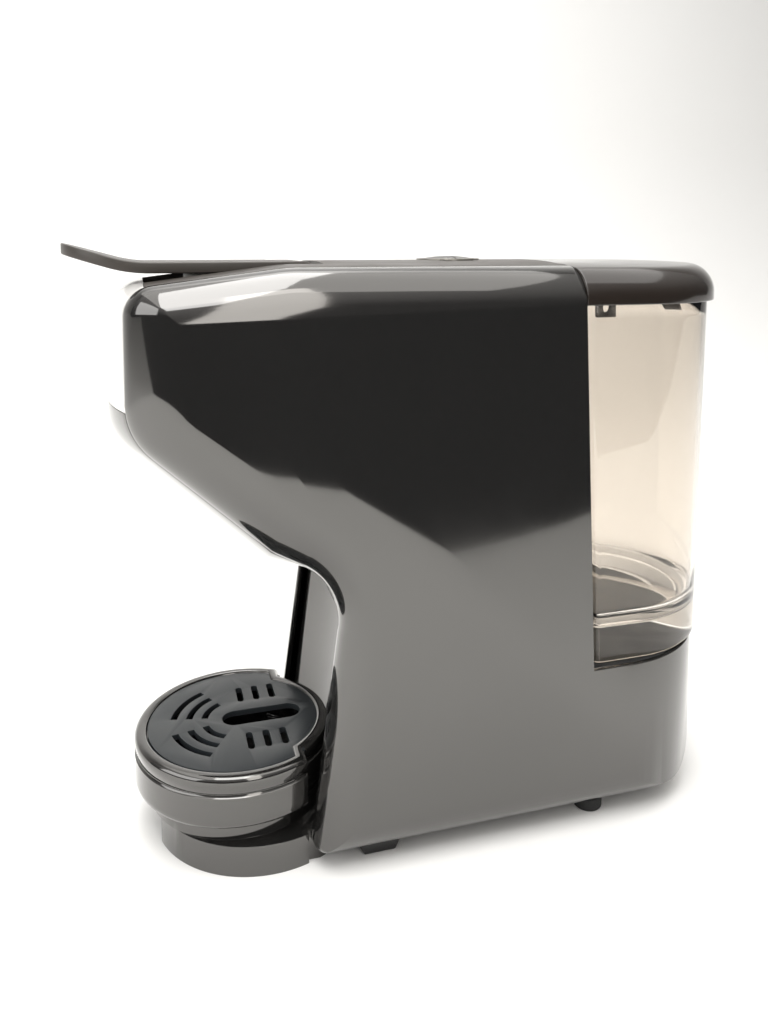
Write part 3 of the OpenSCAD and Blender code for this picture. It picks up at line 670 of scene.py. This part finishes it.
# name: base colour, roughness, shader sockets,
# and (colour spread, its scale, roughness range, bump strength, bump scale, bump distance)
LOOKS = {
    "shell_gloss": (
        (0.115, 0.112, 0.108), 0.07, (("Metallic", 0.9), ("IOR", 1.6), ("Coat Weight", 0.5)),
        (0.06, 9, (0.045, 0.11), 0.035, 34, 0.0006)),
    "lid_gloss": (
        (0.020, 0.015, 0.012), 0.14, (("IOR", 1.6), ("Coat Weight", 0.4)),
        (0.2, 15, (0.08, 0.2), 0.03, 80, 0.0003)),
    "satin_top": (
        (0.052, 0.045, 0.039), 0.42, (),
        (0.18, 30, (0.36, 0.5), 0.22, 2600, 0.0001)),
    "silver_trim": (
        (0.90, 0.885, 0.86), 0.2, (("Metallic", 0.3), ("Coat Weight", 0.4)),
        (0.04, 20, (0.12, 0.24), 0.03, 300, 0.0002)),
    "satin_black": (
        (0.018, 0.018, 0.018), 0.38, (),
        (0.2, 30, (0.3, 0.45), 0.2, 2400, 0.0001)),
    "grid_satin": (
        (0.022, 0.026, 0.029), 0.36, (),
        (0.2, 35, (0.28, 0.44), 0.25, 2600, 0.0001)),
    "inner_plastic": (
        (0.02, 0.02, 0.021), 0.5, (),
        (0.2, 40, (0.42, 0.6), 0.2, 1800, 0.0002)),
    "zinc_frame": (
        (0.36, 0.37, 0.38), 0.35, (("Metallic", 0.9),),
        (0.12, 60, (0.28, 0.5), 0.06, 900, 0.0002)),
    "foot_rubber": (
        (0.016, 0.016, 0.016), 0.75, (),
        (0.25, 40, (0.65, 0.85), 0.3, 1500, 0.0002)),
    "screw_steel": (
        (0.56, 0.57, 0.58), 0.28, (("Metallic", 1.0),),
        (0.08, 200, (0.2, 0.4), 0.05, 900, 0.0002)),
    "pale_plastic": (
        (0.70, 0.67, 0.61), 0.4, (),
        (0.05, 40, (0.34, 0.5), 0.12, 1800, 0.0002)),
    "seal_rubber": (
        (0.26, 0.06, 0.035), 0.55, (),
        (0.15, 40, (0.45, 0.65), 0.15, 900, 0.0002)),
    "pump_casing": (
        (0.34, 0.32, 0.29), 0.4, (("Metallic", 0.6),),
        (0.15, 40, (0.3, 0.5), 0.1, 900, 0.0002)),
    "heater_aluminium": (
        (0.62, 0.63, 0.64), 0.5, (("Metallic", 1.0),),
        (0.1, 120, (0.42, 0.62), 0.3, 1200, 0.0002)),
    "hose_silicone": (
        (0.74, 0.72, 0.66), 0.35, (("Subsurface Weight", 0.2),),
        (0.05, 40, (0.3, 0.45), 0.05, 900, 0.0002)),
    "board_green": (
        (0.02, 0.13, 0.05), 0.3, (),
        (0.2, 300, (0.25, 0.4), 0.15, 900, 0.0002)),
    "wire_red": (
        (0.42, 0.025, 0.015), 0.4, (),
        (0.1, 40, (0.35, 0.5), 0.08, 900, 0.0002)),
    "bezel_grey": (
        (0.20, 0.19, 0.17), 0.28, (("Metallic", 0.5),),
        (0.1, 40, (0.22, 0.36), 0.08, 900, 0.0002)),
    "button_black": (
        (0.045, 0.041, 0.037), 0.3, (),
        (0.15, 40, (0.25, 0.4), 0.12, 2200, 0.0002)),
    "tank_clear": (
        (0.80, 0.755, 0.70), 0.03, (("Transmission Weight", 1.0), ("IOR", 1.45)),
        (0.01, 18, (0.015, 0.06), 0.02, 70, 0.0003)),
}


def make_materials():
    looks = {}
    for name, (color, roughness, sockets, detail) in LOOKS.items():
        looks[name] = add_detail(new_material(name, color, roughness, sockets), *detail)
    return looks


MATERIALS = make_materials()
SLOT_OF = {entry["node"]: entry["material_slot"] for entry in frame["record"]["subparts"]}


for node, piece in frame["nodes"].items():
    piece.data.materials.clear()
    piece.data.materials.append(MATERIALS[SLOT_OF[node]])
    smooth(piece, 30)
for piece in list(bpy.data.objects):
    if piece.name.endswith("_fine"):
        slot = SLOT_OF[piece.name.removesuffix("_fine")]
        piece.data.materials.clear()
        piece.data.materials.append(MATERIALS[slot])


# ---------- camera, floor and lights ----------
def make_camera():
    """Camera to the right of the machine, near the height of its top."""
    camera = bpy.data.objects.new("camera", bpy.data.cameras.new("camera"))
    bpy.context.scene.collection.objects.link(camera)
    turn, tilt = radians(16.3), radians(4.2)
    forward = Vector((-cos(turn) * cos(tilt), sin(turn) * cos(tilt), -sin(tilt)))
    camera.location = (0.3835, DATUM + 0.0093, 0.2612)
    camera.rotation_euler = forward.to_track_quat("-Z", "Y").to_euler()
    camera.data.lens = 30.06
    camera.data.sensor_width = 36
    camera.data.shift_y = -0.2
    camera.data.clip_start = 0.01
    bpy.context.scene.camera = camera


def make_light(name, place, target, size, power, color=(1, 1, 1)):
    """Rectangular light at a place, turned towards a target."""
    light = bpy.data.objects.new(name, bpy.data.lights.new(name, "AREA"))
    bpy.context.scene.collection.objects.link(light)
    light.location = place
    light.rotation_euler = (Vector(target) - Vector(place)).to_track_quat("-Z", "Y").to_euler()
    light.data.shape = "RECTANGLE"
    light.data.size, light.data.size_y = size
    light.data.energy = power
    light.data.color = color


def make_backdrop():
    """Floor that curves up into a wall behind the machine."""
    back, bend, top, half = -1.3, 0.5, 3.0, 4.0
    # the floor ends here, so that the upper side shell reflects the dim room
    profile = [(0.62, 0.0)]
    for i in range(17):
        a = radians(90) * i / 16
        profile.append((back + bend - bend * sin(a), bend - bend * cos(a)))
    profile.append((back, top))
    points = [(x, y, z) for y in (-half, half) for x, z in profile]
    n = len(profile)
    backdrop = mesh_object("backdrop", points, [(k, k + 1, n + k + 1, n + k) for k in range(n - 1)])
    smooth(backdrop, 60)
    backdrop.data.materials.append(new_material("backdrop", (0.92, 0.915, 0.90), 0.75))


def make_world():
    """Dim room that is darkest at eye level and brighter overhead."""
    world = bpy.data.worlds.new("studio")
    bpy.context.scene.world = world
    world.use_nodes = True
    nodes, links = world.node_tree.nodes, world.node_tree.links
    way = nodes.new("ShaderNodeTexCoord")
    split = nodes.new("ShaderNodeSeparateXYZ")
    shades = nodes.new("ShaderNodeValToRGB")
    ramp = shades.color_ramp
    ramp.elements[0].position = 0.0
    ramp.elements[0].color = (0.05, 0.05, 0.052, 1)
    ramp.elements[1].position = 0.75
    ramp.elements[1].color = (0.6, 0.59, 0.575, 1)
    middle = ramp.elements.new(0.28)
    middle.color = (0.16, 0.158, 0.155, 1)
    links.new(way.outputs["Generated"], split.inputs["Vector"])
    links.new(split.outputs["Z"], shades.inputs["Fac"])
    links.new(shades.outputs["Color"], nodes["Background"].inputs["Color"])
    nodes["Background"].inputs["Strength"].default_value = 1.0


def make_stage():
    make_backdrop()
    make_world()
    make_light("overhead", (0.0, 0.0, 1.2), (0, 0, 0), (1.6, 1.8), 12, (1, 0.985, 0.96))
    make_light("front_box", (0.35, -1.1, 0.6), (0, 0, 0.15), (0.9, 0.7), 5)
    make_light("side_strip", (1.2, 0.1, 1.0), (0, 0, 0.2), (0.35, 1.6), 6, (1, 0.97, 0.93))
    make_light("wall_wash", (-0.35, 0.0, 1.9), (-1.3, 0.3, 0.3), (0.6, 3.0), 26)


make_camera()
make_stage()
bpy.context.scene.view_settings.view_transform = "Standard"
